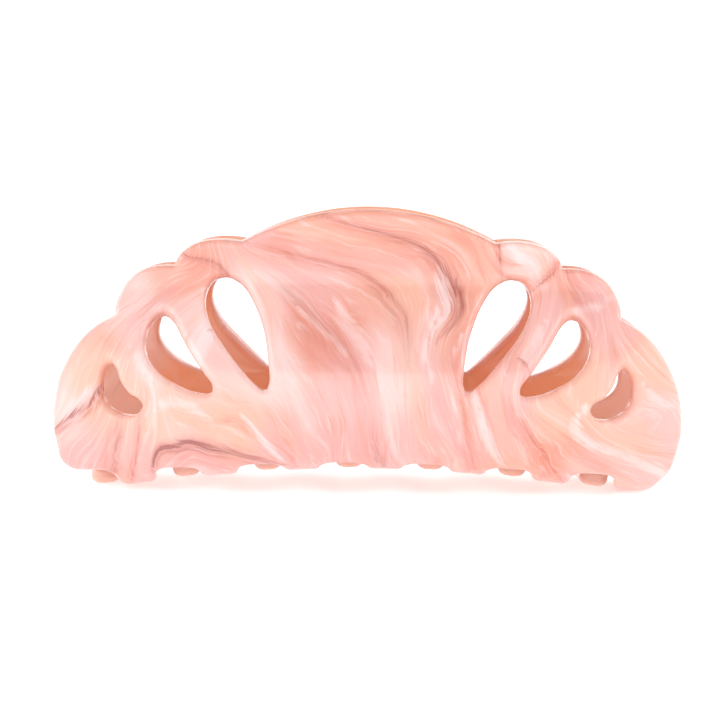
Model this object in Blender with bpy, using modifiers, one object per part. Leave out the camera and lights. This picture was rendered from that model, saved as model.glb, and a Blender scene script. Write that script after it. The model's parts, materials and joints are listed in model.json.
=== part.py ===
"""Large claw clip: two identical thermoformed acetate jaws on a sprung hinge.

World frame, metres: +X runs along the hinge, the front jaw is on the -Y side, +Z is up and
z = 0 is the underside of the end teeth.  Driving sizes below are in millimetres.
"""
import math

import bpy
import bmesh
from mathutils import Matrix, Vector

MM = 0.001

# Jaw plate: a flat sheet with an outline and cut-outs, formed over a curved former.
PLATE_T = 3.2
EDGE_ROUND = 1.3
BOW_LENGTH = 60.0
BOW_POWER = 3.0
BELLY_Y = 20.0
PINCH_Y = 7.0
TAB_FLARE = 3.0
BELLY_Z = 17.5
PINCH_Z = 39.0
CURL_R = 12.0

# Outline of the plate, right half.
DOME_TOP_Z = 49.4
DOME_R = 47.6
DOME_HALF = 22.4
LOBE_1 = ((22.4, 43.8), (25.4, 44.1), (29.0, 43.8), (31.3, 43.0), (32.9, 41.8), (33.9, 40.5), (34.2, 39.4))
LOBE_2 = ((34.2, 39.4), (37.2, 39.3), (40.0, 38.5), (42.1, 36.9), (43.7, 34.4), (44.5, 31.7), (44.4, 30.3))
LOBE_3 = ((44.4, 30.3), (47.6, 28.5), (50.6, 25.5), (52.9, 21.5), (54.3, 17.5), (54.8, 13.9),
          (54.8, 10.8), (54.2, 8.2))
END_SIDE = ((54.2, 8.2), (53.2, 4.8), (51.5, 1.9), (50.4, -1.1), (49.7, -4.9))
NOTCH_ROUND = 0.5

# Cut-outs, right half: a teardrop, a leaf and a bean.
TEARDROP = ((25.0, 37.3), (23.4, 36.8), (21.8, 35.6), (19.8, 32.6), (17.9, 27.8), (16.8, 21.9),
            (16.7, 19.7), (17.1, 18.7), (17.8, 18.6), (18.8, 19.3), (20.8, 21.1), (24.0, 24.5),
            (27.1, 28.5), (28.6, 32.6), (28.2, 35.4), (26.9, 36.9))
LEAF = ((35.7, 30.8), (34.3, 30.0), (31.3, 25.5), (28.1, 21.2), (26.6, 19.3), (26.5, 18.2), (27.4, 17.8),
        (29.4, 18.0), (32.7, 19.2), (36.0, 21.1), (38.1, 23.6), (38.8, 26.0), (38.3, 28.7), (37.2, 30.3))
BEAN = ((44.6, 22.3), (45.7, 21.3), (46.1, 19.3), (45.8, 16.7), (44.0, 14.6), (41.6, 13.8), (39.4, 14.2),
        (38.6, 15.4), (39.2, 16.5), (41.0, 17.5), (42.7, 19.6), (43.5, 21.5))

# Teeth: they curl under the plate and run across to pass between the other jaw's teeth.
TOOTH_COUNT = 7
TOOTH_PITCH = 14.6
TOOTH_SHIFT = 3.25
TOOTH_ROOT_HALF = 3.8
TOOTH_TIP_HALF = 2.35
TOOTH_TIP_ROUND = 2.25
TOOTH_REACH = 4.5
TOOTH_DROOP = 0.65
ROOT_FILLET = 2.2
ARCH_RISE = 3.8
ARCH_HALF = 45.0
VALLEY_Z = 5.7
VALLEY_DROP = 2.0
VALLEY_HALF = 48.0

# Hinge.
HINGE_Z = 35.5
PIN_R = 1.0
PIN_HOLE_R = 1.1
PIN_HEAD_R = 1.9
PIN_SEAT = 14.2
LUG_R = 3.6
LUG_T = 3.0
LUG_EDGE = 0.35
LUG_GAP = 0.12
LUG_TOP = 4.0
LUG_FOOT = -5.0
OUTER_LUG_X = 12.5
INNER_LUG_X = 8.5

# Torsion spring.
WIRE_R = 0.6
COIL_R = 3.0
COIL_HALF = 4.4
COIL_TURNS = 6
LEG_TOP_Y = 5.25
LEG_TOP_Z = 8.7

# Fineness of the forming grid.
GRID_U = 5.0
GRID_V = 3.2
EDGE_STEP = 2.9
ARC_STEP = math.radians(30)


def clear_scene():
    for item in list(bpy.data.objects):
        bpy.data.objects.remove(item, do_unlink=True)


def new_collection(name):
    folder = bpy.data.collections.new(name)
    bpy.context.scene.collection.children.link(folder)
    return folder


def new_material(name, colour, roughness, metallic):
    material = bpy.data.materials.new(name)
    material.use_nodes = True
    shader = material.node_tree.nodes["Principled BSDF"]
    shader.inputs["Base Color"].default_value = (*colour, 1.0)
    shader.inputs["Roughness"].default_value = roughness
    shader.inputs["Metallic"].default_value = metallic
    material.diffuse_color = (*colour, 1.0)
    return material


def add_object(name, data, folder, material):
    item = bpy.data.objects.new(name, data)
    folder.objects.link(item)
    item.data.materials.clear()
    item.data.materials.append(material)
    return item


# ---------------------------------------------------------------- outline helpers

def spline_through(points, step, closed=False):
    """Points about `step` apart on a smooth curve through the given ones."""
    count = len(points)
    found = []
    spans = count if closed else count - 1
    for i in range(spans):
        p1 = Vector(points[i])
        p2 = Vector(points[(i + 1) % count])
        p0 = Vector(points[i - 1]) if (closed or i > 0) else p1 - (p2 - p1)
        p3 = Vector(points[(i + 2) % count]) if (closed or i + 2 < count) else p2 + (p2 - p1)
        pieces = max(1, round((p2 - p1).length / step))
        for k in range(pieces):
            found.append(catmull(p0, p1, p2, p3, k / pieces))
    if not closed:
        found.append(Vector(points[-1]))
    return found


def catmull(p0, p1, p2, p3, t):
    """Centripetal Catmull-Rom point between p1 and p2."""
    t1 = math.sqrt((p1 - p0).length)
    t2 = t1 + math.sqrt((p2 - p1).length)
    t3 = t2 + math.sqrt((p3 - p2).length)
    s = t1 + (t2 - t1) * t
    a1 = p0 * ((t1 - s) / t1) + p1 * (s / t1)
    a2 = p1 * ((t2 - s) / (t2 - t1)) + p2 * ((s - t1) / (t2 - t1))
    a3 = p2 * ((t3 - s) / (t3 - t2)) + p3 * ((s - t2) / (t3 - t2))
    b1 = a1 * ((t2 - s) / t2) + a2 * (s / t2)
    b2 = a2 * ((t3 - s) / (t3 - t1)) + a3 * ((s - t1) / (t3 - t1))
    return b1 * ((t2 - s) / (t2 - t1)) + b2 * ((s - t1) / (t2 - t1))


def fillet_polygon(corners):
    """Closed polygon of (point, radius) corners with each radius drawn as an arc."""
    found = []
    count = len(corners)
    for i in range(count):
        here, radius = corners[i]
        if radius <= 0:
            found.append(here)
            continue
        before = (corners[i - 1][0] - here).normalized()
        after = (corners[(i + 1) % count][0] - here).normalized()
        half = before.angle(after) / 2
        if half > math.radians(88):
            found.append(here)
            continue
        reach = radius / math.tan(half)
        middle = here + (before + after).normalized() * (radius / math.sin(half))
        start = here + before * reach - middle
        finish = here + after * reach - middle
        turn = math.pi - 2 * half
        if start.x * finish.y - start.y * finish.x < 0:
            turn = -turn
        pieces = max(2, math.ceil(abs(turn) / ARC_STEP))
        for k in range(pieces + 1):
            found.append(middle + Matrix.Rotation(turn * k / pieces, 2) @ start)
    return found


# ---------------------------------------------------------------- the jaw's curved mid-surface

def bow(u):
    """How far the plate stands out at station u, as a share of the centre's."""
    return math.sqrt(1 - (abs(u) / BOW_LENGTH) ** BOW_POWER)


def curl_radius(u):
    return CURL_R * bow(u)


def underside_z(u):
    """Height of the teeth's undersides: an arch, level under the end teeth."""
    q = 1 - min(1.0, (u / ARCH_HALF) ** 2)
    return ARCH_RISE * q ** 1.2


def tooth_droop(u):
    """How far a tooth's tip hangs below its root; none on the level end teeth."""
    return TOOTH_DROOP * underside_z(u) / ARCH_RISE


def curl_centre_z(u):
    return underside_z(u) + PLATE_T / 2 + curl_radius(u)


def side_profile(z):
    """Distance of the middle of the plate from the hinge plane: belly, pinch, finger tab."""
    if z >= PINCH_Z:
        rise = (z - PINCH_Z) / (DOME_TOP_Z - PINCH_Z)
        return PINCH_Y + TAB_FLARE * rise * rise
    t = max(0.0, (z - BELLY_Z) / (PINCH_Z - BELLY_Z))
    return BELLY_Y - (BELLY_Y - PINCH_Y) * t * t * (3 - 2 * t)


def sheet_point(u, v):
    """Place on the formed mid-surface of the flat sheet's point (u, v)."""
    radius = curl_radius(u)
    centre = curl_centre_z(u)
    if v >= centre:
        return Vector((u, -side_profile(v) * bow(u), v))
    angle = (centre - v) / radius
    out = BELLY_Y * bow(u)
    if angle <= math.pi / 2:
        return Vector((u, radius * (1 - math.cos(angle)) - out, centre - radius * math.sin(angle)))
    run = centre - v - radius * math.pi / 2
    droop = tooth_droop(u) * (run / (out - radius + TOOTH_REACH)) ** 2
    return Vector((u, radius - out + run, centre - radius - droop))


def formed_point(u, v, n):
    """Formed place of the sheet's point (u, v) at height n above its middle."""
    d = 0.01
    along = sheet_point(u + d, v) - sheet_point(u - d, v)
    up = sheet_point(u, v + d) - sheet_point(u, v - d)
    return sheet_point(u, v) + along.cross(up).normalized() * n


def valley_v(u):
    """Sheet height of the edge between two teeth, from the height wanted when formed."""
    wanted = VALLEY_Z - VALLEY_DROP * (abs(u) / VALLEY_HALF) ** 1.5
    radius = curl_radius(u)
    centre = curl_centre_z(u)
    sine = min(0.98, (centre - PLATE_T / 2 - wanted) / radius)
    return centre - radius * math.asin(sine) - PLATE_T / 2


def tip_v(u):
    """Sheet height of a tooth's tip."""
    return curl_centre_z(u) - curl_radius(u) * math.pi / 2 - (BELLY_Y * bow(u) - curl_radius(u)) - TOOTH_REACH


def tooth_centres():
    half = TOOTH_COUNT // 2
    return [TOOTH_SHIFT + TOOTH_PITCH * k for k in range(-half, half + 1)]


# ---------------------------------------------------------------- the jaw

def upper_edge(step):
    """Corners of the right half from the dome's top to the last lobe's foot."""
    corners = []
    pieces = round(DOME_HALF / step)
    for k in range(pieces):
        x = DOME_HALF * k / pieces
        z = DOME_TOP_Z - DOME_R + math.sqrt(DOME_R ** 2 - x ** 2)
        corners.append((Vector((x, z)), 0.0))
    for lobe in (LOBE_1, LOBE_2, LOBE_3):
        points = spline_through(lobe, step)
        corners.append((points[0], NOTCH_ROUND))
        corners += [(p, 0.0) for p in points[1:-1]]
    corners.append((Vector(LOBE_3[-1]), 0.0))
    return corners


def toothed_edge():
    """Corners along the bottom from right to left: seven teeth, then the plain end."""
    corners = []
    centres = tooth_centres()
    last = centres[-1]
    corners += [(p, 0.0) for p in spline_through(END_SIDE, EDGE_STEP)[1:]]
    for c in reversed(centres):
        if c != last:
            corners.append((Vector((c + TOOTH_ROOT_HALF, valley_v(c + TOOTH_ROOT_HALF))), ROOT_FILLET))
        corners.append((Vector((c + TOOTH_TIP_HALF, tip_v(c))), TOOTH_TIP_ROUND))
        corners.append((Vector((c - TOOTH_TIP_HALF, tip_v(c))), TOOTH_TIP_ROUND))
        corners.append((Vector((c - TOOTH_ROOT_HALF, valley_v(c - TOOTH_ROOT_HALF))), ROOT_FILLET))
        if c != centres[0]:
            middle = c - TOOTH_PITCH / 2
            corners.append((Vector((middle, valley_v(middle))), 0.0))
    corners.append((Vector((-48.5, valley_v(-48.5))), 0.0))
    corners.append((Vector((-53.3, valley_v(-53.3))), 3.8))
    return corners


def jaw_outline(step):
    right = upper_edge(step)
    left = [(Vector((-p.x, p.y)), r) for p, r in reversed(right[1:])]
    return fillet_polygon(left + right + toothed_edge())


def sheet_curve(name, loops, half_thickness, edge, resolution):
    """Flat filled outline with holes, thick and with rounded edges, as a mesh."""
    curve = bpy.data.curves.new(name, "CURVE")
    curve.dimensions = "2D"
    curve.fill_mode = "BOTH"
    curve.extrude = half_thickness - edge
    curve.bevel_depth = edge
    curve.bevel_resolution = resolution
    curve.offset = -edge
    for loop in loops:
        spline = curve.splines.new("POLY")
        spline.points.add(len(loop) - 1)
        for point, place in zip(spline.points, loop):
            point.co = (place[0], place[1], 0.0, 1.0)
        spline.use_cyclic_u = True
    return mesh_of_curve(name, curve)


def mesh_of_curve(name, curve):
    """The curve turned into a welded mesh; the curve itself is removed."""
    holder = bpy.data.objects.new(name + "_curve", curve)
    bpy.context.scene.collection.objects.link(holder)
    ready = holder.evaluated_get(bpy.context.evaluated_depsgraph_get())
    mesh = bpy.data.meshes.new_from_object(ready)
    mesh.name = name
    bpy.data.objects.remove(holder, do_unlink=True)
    bpy.data.curves.remove(curve)
    body = bmesh.new()
    body.from_mesh(mesh)
    bmesh.ops.remove_doubles(body, verts=body.verts, dist=0.00001)
    bmesh.ops.recalc_face_normals(body, faces=body.faces)
    body.to_mesh(mesh)
    body.free()
    return mesh


def cut_into_grid(body, step_u, step_v):
    """Merge the flat faces, then slice them along lines of constant u and v."""
    flat = [e for e in body.edges if all(abs(f.normal.z) > 0.999 for f in e.link_faces)]
    bmesh.ops.dissolve_limit(body, angle_limit=0.01, verts=[], edges=flat)
    low = Vector((min(v.co.x for v in body.verts), min(v.co.y for v in body.verts)))
    high = Vector((max(v.co.x for v in body.verts), max(v.co.y for v in body.verts)))
    for axis, step in ((0, step_u), (1, step_v)):
        pieces = math.ceil((high[axis] - low[axis]) / step)
        for k in range(1, pieces):
            place = Vector((0.0, 0.0, 0.0))
            place[axis] = low[axis] + (high[axis] - low[axis]) * k / pieces
            normal = Vector((0.0, 0.0, 0.0))
            normal[axis] = 1.0
            faces = [f for f in body.faces if abs(f.normal.z) > 0.999]
            edges = {e for f in faces for e in f.edges}
            verts = {v for f in faces for v in f.verts}
            bmesh.ops.bisect_plane(body, geom=[*verts, *edges, *faces], plane_co=place, plane_no=normal,
                                   dist=0.25)


def jaw_mesh():
    """One jaw, its origin on the hinge axis."""
    loops = [jaw_outline(EDGE_STEP)]
    for hole in (TEARDROP, LEAF, BEAN):
        right = spline_through(hole, EDGE_STEP, closed=True)
        loops.append(right)
        loops.append([Vector((-p.x, p.y)) for p in reversed(right)])
    mesh = sheet_curve("jaw", loops, PLATE_T / 2, EDGE_ROUND, 1)
    body = bmesh.new()
    body.from_mesh(mesh)
    cut_into_grid(body, GRID_U, GRID_V)
    bmesh.ops.triangulate(body, faces=body.faces, quad_method="SHORT_EDGE", ngon_method="BEAUTY")
    for vert in body.verts:
        place = formed_point(vert.co.x, vert.co.y, vert.co.z)
        vert.co = (place - Vector((0.0, 0.0, HINGE_Z))) * MM
    for face in body.faces:
        face.smooth = True
    body.to_mesh(mesh)
    body.free()
    return mesh


def build_jaws(folder, acetate):
    mesh = jaw_mesh()
    front = add_object("front_jaw", mesh, folder, acetate)
    rear = add_object("rear_jaw", mesh.copy(), folder, acetate)
    rear.rotation_euler.z = math.pi
    for jaw in (front, rear):
        jaw.location.z = HINGE_Z * MM


# ---------------------------------------------------------------- the hinge

def lug_outline(reach_x):
    """Side view of a front lug round the pin: (y, z) from the hinge axis."""
    foot = []
    pieces = 5
    for k in range(pieces + 1):
        z = LUG_FOOT + (LUG_TOP - LUG_FOOT) * k / pieces
        wall = formed_inner_y(reach_x, HINGE_Z + z)
        foot.append(Vector((wall + LUG_GAP, z)))
    corners = [(p, 0.0) for p in foot]
    corners[0] = (foot[0], 0.4)
    corners[-1] = (foot[-1], 0.4)
    for k in range(8):
        angle = math.radians(80 - 25 * k)
        corners.append((Vector((math.cos(angle), math.sin(angle))) * LUG_R, 0.0))
    return fillet_polygon(corners)


def formed_inner_y(x, z):
    """y of the plate's inner face at station x and height z."""
    slope = (side_profile(z + 0.1) - side_profile(z - 0.1)) / 0.2
    return -side_profile(z) * bow(x) + PLATE_T / 2 * math.sqrt(1 + slope * slope)


def circle(radius, count):
    return [Vector((math.cos(a), math.sin(a))) * radius for a in
            (2 * math.pi * k / count for k in range(count))]


def lug_mesh(name, reach_x):
    loops = [lug_outline(reach_x), circle(PIN_HOLE_R, 24)]
    mesh = sheet_curve(name, loops, LUG_T / 2, LUG_EDGE, 0)
    side_on = Matrix(((0, 0, 1, 0), (1, 0, 0, 0), (0, 1, 0, 0), (0, 0, 0, 1)))
    mesh.transform(Matrix.Scale(MM, 4) @ side_on)
    return mesh


def build_lugs(folder, acetate):
    """Front lugs, and the same lugs turned half round for the rear jaw."""
    for name, x in (("outer", -OUTER_LUG_X), ("inner", INNER_LUG_X)):
        mesh = lug_mesh(name + "_lug", abs(x) + LUG_T / 2)
        front = add_object("front_" + name + "_lug", mesh, folder, acetate)
        front.location = Vector((x, 0.0, HINGE_Z)) * MM
        rear = add_object("rear_" + name + "_lug", mesh.copy(), folder, acetate)
        rear.location = Vector((-x, 0.0, HINGE_Z)) * MM
        rear.rotation_euler.z = math.pi


def turned(name, profile, folder, material):
    """Round piece on the hinge axis from a (radius, distance along X) profile."""
    mesh = bpy.data.meshes.new(name)
    verts = [(r * MM, 0.0, x * MM) for r, x in profile]
    mesh.from_pydata(verts, [(k, k + 1) for k in range(len(verts) - 1)], [])
    item = add_object(name, mesh, folder, material)
    item.location.z = HINGE_Z * MM
    item.rotation_euler.y = math.pi / 2
    screw = item.modifiers.new("turn", "SCREW")
    screw.steps = 24
    screw.render_steps = 24
    screw.use_merge_vertices = True
    screw.merge_threshold = 0.00001
    screw.use_smooth_shade = True
    return item


def build_pin(folder, steel):
    seat = PIN_SEAT
    head = ((0.0, seat + 1.35), (0.8, seat + 1.25), (1.5, seat + 0.9), (PIN_HEAD_R, seat + 0.35),
            (PIN_HEAD_R, seat), (PIN_R, seat), (PIN_R, -seat - 0.8), (PIN_R - 0.3, -seat - 1.05),
            (0.0, -seat - 1.05))
    turned("hinge_pin", head, folder, steel)
    cap = ((0.0, -seat - 1.2), (PIN_R + 0.08, -seat - 1.2), (PIN_R + 0.08, -seat),
           (PIN_HEAD_R, -seat), (PIN_HEAD_R, -seat - 1.0), (1.5, -seat - 1.55), (0.8, -seat - 1.85),
           (0.0, -seat - 1.95))
    turned("pin_end_cap", cap, folder, steel)


def leg_direction():
    """Unit (y, z) direction of the front leg, which leaves the coil as a tangent."""
    reach = Vector((-LEG_TOP_Y, LEG_TOP_Z))
    along = math.sqrt(reach.length ** 2 - COIL_R ** 2)
    tilt = math.atan2(COIL_R, along)
    return (Matrix.Rotation(-tilt, 2) @ reach).normalized()


def spring_path():
    """Centre line of the wire, (x, y, z) from the middle of the hinge axis."""
    way = leg_direction()
    touch = Vector((-way.y, way.x)) * COIL_R
    start = math.atan2(touch.y, touch.x) % (2 * math.pi)
    turn = 2 * math.pi * COIL_TURNS + (3 * math.pi - 2 * start)
    length = (Vector((-LEG_TOP_Y, LEG_TOP_Z)) - touch).length
    path = []
    for share in (1.0, 0.66, 0.33, 0.1):
        place = touch + way * (length * share)
        path.append(Vector((-COIL_HALF, place.x, place.y)))
    pieces = round(turn / math.radians(18))
    for k in range(pieces + 1):
        angle = start + turn * k / pieces
        x = -COIL_HALF + 2 * COIL_HALF * k / pieces
        path.append(Vector((x, COIL_R * math.cos(angle), COIL_R * math.sin(angle))))
    path += [Vector((-p.x, -p.y, p.z)) for p in reversed(path[:4])]
    return path


def build_spring(folder, steel):
    curve = bpy.data.curves.new("torsion_spring", "CURVE")
    curve.dimensions = "3D"
    curve.bevel_depth = WIRE_R * MM
    curve.bevel_resolution = 2
    curve.use_fill_caps = True
    path = spring_path()
    spline = curve.splines.new("POLY")
    spline.points.add(len(path) - 1)
    for point, place in zip(spline.points, path):
        point.co = (*(place * MM), 1.0)
    spring = add_object("torsion_spring", mesh_of_curve("torsion_spring", curve), folder, steel)
    spring.location.z = HINGE_Z * MM
    spring.data.polygons.foreach_set("use_smooth", [True] * len(spring.data.polygons))


def main():
    clear_scene()
    folder = new_collection("claw_clip")
    acetate = new_material("marbled_acetate", (0.93, 0.60, 0.52), 0.18, 0.0)
    steel = new_material("polished_steel", (0.72, 0.72, 0.74), 0.22, 1.0)
    build_jaws(folder, acetate)
    build_lugs(folder, acetate)
    build_pin(folder, steel)
    build_spring(folder, steel)


main()
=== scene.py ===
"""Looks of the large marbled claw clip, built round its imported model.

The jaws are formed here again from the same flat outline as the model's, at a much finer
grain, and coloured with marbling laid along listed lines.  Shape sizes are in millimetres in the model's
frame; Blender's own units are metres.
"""
import json
import math

import bmesh
import bpy
import numpy as np
from mathutils import Matrix, Vector


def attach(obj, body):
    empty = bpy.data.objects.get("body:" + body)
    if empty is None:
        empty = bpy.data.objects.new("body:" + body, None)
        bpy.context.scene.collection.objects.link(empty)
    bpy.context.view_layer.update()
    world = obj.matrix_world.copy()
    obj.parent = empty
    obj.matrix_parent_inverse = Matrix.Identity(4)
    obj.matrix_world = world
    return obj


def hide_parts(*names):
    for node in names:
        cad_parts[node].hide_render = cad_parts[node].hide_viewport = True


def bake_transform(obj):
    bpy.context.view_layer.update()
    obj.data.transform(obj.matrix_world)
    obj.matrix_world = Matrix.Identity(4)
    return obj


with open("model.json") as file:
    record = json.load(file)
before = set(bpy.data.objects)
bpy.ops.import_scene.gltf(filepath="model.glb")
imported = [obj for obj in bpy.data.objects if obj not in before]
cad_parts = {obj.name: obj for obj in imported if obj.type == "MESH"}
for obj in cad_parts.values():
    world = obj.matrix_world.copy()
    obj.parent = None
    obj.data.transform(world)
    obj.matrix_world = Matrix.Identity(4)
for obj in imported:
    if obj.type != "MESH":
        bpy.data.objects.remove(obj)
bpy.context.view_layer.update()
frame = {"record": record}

MM = 0.001

# Jaw plate: a flat sheet with an outline and cut-outs, formed over a curved former.
PLATE_T = 3.2
EDGE_ROUND = 1.3
BOW_LENGTH = 60.0
BOW_POWER = 3.0
BELLY_Y = 20.0
PINCH_Y = 7.0
TAB_FLARE = 3.0
BELLY_Z = 17.5
PINCH_Z = 39.0
CURL_R = 12.0

# Outline of the plate, right half.
DOME_TOP_Z = 49.4
DOME_R = 47.6
DOME_HALF = 22.4
LOBE_1 = ((22.4, 43.8), (25.4, 44.1), (29.0, 43.8), (31.3, 43.0), (32.9, 41.8), (33.9, 40.5), (34.2, 39.4))
LOBE_2 = ((34.2, 39.4), (37.2, 39.3), (40.0, 38.5), (42.1, 36.9), (43.7, 34.4), (44.5, 31.7), (44.4, 30.3))
LOBE_3 = ((44.4, 30.3), (47.6, 28.5), (50.6, 25.5), (52.9, 21.5), (54.3, 17.5), (54.8, 13.9),
          (54.8, 10.8), (54.2, 8.2))
END_SIDE = ((54.2, 8.2), (53.2, 4.8), (51.5, 1.9), (50.4, -1.1), (49.7, -4.9))
NOTCH_ROUND = 0.5

# Cut-outs, right half: a teardrop, a leaf and a bean.
TEARDROP = ((25.0, 37.3), (23.4, 36.8), (21.8, 35.6), (19.8, 32.6), (17.9, 27.8), (16.8, 21.9),
            (16.7, 19.7), (17.1, 18.7), (17.8, 18.6), (18.8, 19.3), (20.8, 21.1), (24.0, 24.5),
            (27.1, 28.5), (28.6, 32.6), (28.2, 35.4), (26.9, 36.9))
LEAF = ((35.7, 30.8), (34.3, 30.0), (31.3, 25.5), (28.1, 21.2), (26.6, 19.3), (26.5, 18.2), (27.4, 17.8),
        (29.4, 18.0), (32.7, 19.2), (36.0, 21.1), (38.1, 23.6), (38.8, 26.0), (38.3, 28.7), (37.2, 30.3))
BEAN = ((44.6, 22.3), (45.7, 21.3), (46.1, 19.3), (45.8, 16.7), (44.0, 14.6), (41.6, 13.8), (39.4, 14.2),
        (38.6, 15.4), (39.2, 16.5), (41.0, 17.5), (42.7, 19.6), (43.5, 21.5))

# Teeth.
TOOTH_COUNT = 7
TOOTH_PITCH = 14.6
TOOTH_SHIFT = 3.25
TOOTH_ROOT_HALF = 3.8
TOOTH_TIP_HALF = 2.35
TOOTH_TIP_ROUND = 2.25
TOOTH_REACH = 4.5
TOOTH_DROOP = 0.65
ROOT_FILLET = 2.2
PLAIN_END = ((-48.5, 0.0), (-53.3, 3.8))
ARCH_RISE = 3.8
ARCH_HALF = 45.0
VALLEY_Z = 5.7
VALLEY_DROP = 2.0
VALLEY_HALF = 48.0

# Hinge, with its height taken from the model's joint.
HINGE_Z = frame["record"]["behaviour"]["joints"][0]["pos_m"][2] / MM
PIN_R = 1.0
PIN_HOLE_R = 1.1
PIN_HEAD_R = 1.9
PIN_SEAT = 14.2
LUG_R = 3.6
LUG_T = 3.0
LUG_EDGE = 0.45
LUG_GAP = 0.12
LUG_TOP = 4.0
LUG_FOOT = -5.0
LUG_FOOT_PIECES = 9
LUG_TURN_FROM = math.radians(80)
LUG_TURN = math.radians(175)
LUG_TURN_PIECES = 35
OUTER_LUG_X = 12.5
INNER_LUG_X = 8.5

# Torsion spring.
WIRE_R = 0.6
COIL_R = 3.0
COIL_HALF = 4.4
COIL_TURNS = 6
LEG_TOP_Y = 5.25
LEG_TOP_Z = 8.7

# Fineness of the meshes.
EDGE_STEP = 0.9
HOLE_STEP = 0.5
GRID = 1.25
ARC_STEP = math.radians(9)
EDGE_RINGS = 5
TURN_STEPS = 64
GRID_MERGE = 0.12

# Marbling of the sheet. Veins and streaks are dealt out in turn to layers, so that lines side
# by side are in different ones and cross cleanly.
LAYERS = 3

# Lines laid along the swirl, in sheet millimetres. Each carries the level of the swirl it
# follows, and levels rise towards the right.
LEVEL_MM = 9.0
FLOW_STEP = 4.0
LINE_STEP = 1.2
FAR = 9.0
FLOW_LINES = (
    (5.0, ((-5, 50.5), (5, 49), (12, 46.5), (18, 43), (20, 38), (18.5, 33), (17.5, 28), (17, 22))),
    (4.0, ((-12, 49.2), (-5, 48), (0, 46.6), (5, 45.3), (9, 44), (12, 41.5), (14, 38), (15.5, 34.5),
           (16.5, 31.5), (15.5, 29), (13.3, 27), (13.2, 25), (14.5, 20), (16, 15), (18.5, 8), (19.5, 2))),
    (3.5, ((-14, 46.5), (-6, 44.5), (2, 42), (7.5, 38.5), (10.5, 34), (10.8, 30), (9.5, 26), (11, 20),
           (14, 12), (16, 5))),
    (3.0, ((-22, 44), (-18, 43.5), (-12, 41.5), (-6, 40), (-2, 38.5), (1, 36), (4, 33), (6.5, 30),
           (7, 26), (8, 20), (10, 12), (12, 4))),
    (2.0, ((-21, 41.5), (-15, 36), (-10, 31), (-5, 26), (-1, 21), (1, 15), (2.5, 8), (3.5, 1))),
    (1.0, ((-20, 36), (-16.5, 29), (-13, 23), (-9, 15), (-7, 8), (-6, 3))),
    (0.0, ((-33, 17), (-28, 18.5), (-24, 17), (-20, 15), (-16, 11), (-13, 7), (-11, 1))),
    (-0.7, ((-36.5, 5), (-36, 8), (-34, 9.5), (-31, 10.2), (-28, 9.5), (-24, 8), (-20, 6.5), (-16, 5),
            (-13, 2))),
    (-1.2, ((-34, 3), (-31, 5.5), (-27, 4.5), (-23, 2))),
    (0.2, ((-24, 35), (-26.5, 30), (-29.5, 24), (-32, 19))),
    (-1.1, ((-36.5, 17), (-38, 11), (-39.5, 3))),
    (-1.6, ((-27, 37), (-33, 33), (-38.5, 26), (-41, 19), (-42.5, 13), (-43, 10), (-44.5, 5), (-46, 0))),
    (-2.1, ((-44, 13), (-47, 9), (-51, 5))),
    (-2.6, ((-29, 39), (-35, 36), (-41, 31), (-46, 25), (-47.5, 18), (-50, 14), (-53.5, 10.5))),
    (-3.4, ((-30, 43), (-38, 38.5), (-44, 32), (-50, 25), (-53.3, 18), (-54.5, 13))),
    (6.0, ((21, 43), (23, 39), (28.5, 39), (30.5, 33), (28.5, 26), (25.5, 21), (25.2, 16), (27.5, 12.5),
           (30.5, 9), (33, 4.5), (35, 0))),
    (5.4, ((20.5, 18), (22, 12), (24.5, 6), (27, 1))),
    (7.0, ((33, 42), (32.5, 38), (33, 34), (30, 27), (28, 16), (33, 12.5), (38, 9.5), (44, 6.5), (50, 4))),
    (8.0, ((35, 38), (38, 35), (40.5, 29), (38.5, 19), (41, 11.5), (48, 8.5), (54, 7))),
    (8.7, ((38, 38), (42, 34), (43, 27), (47.5, 19.5), (51, 17), (54, 15.5))),
    (9.4, ((42, 37), (44.5, 30), (49, 25), (53, 20))),
)

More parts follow.
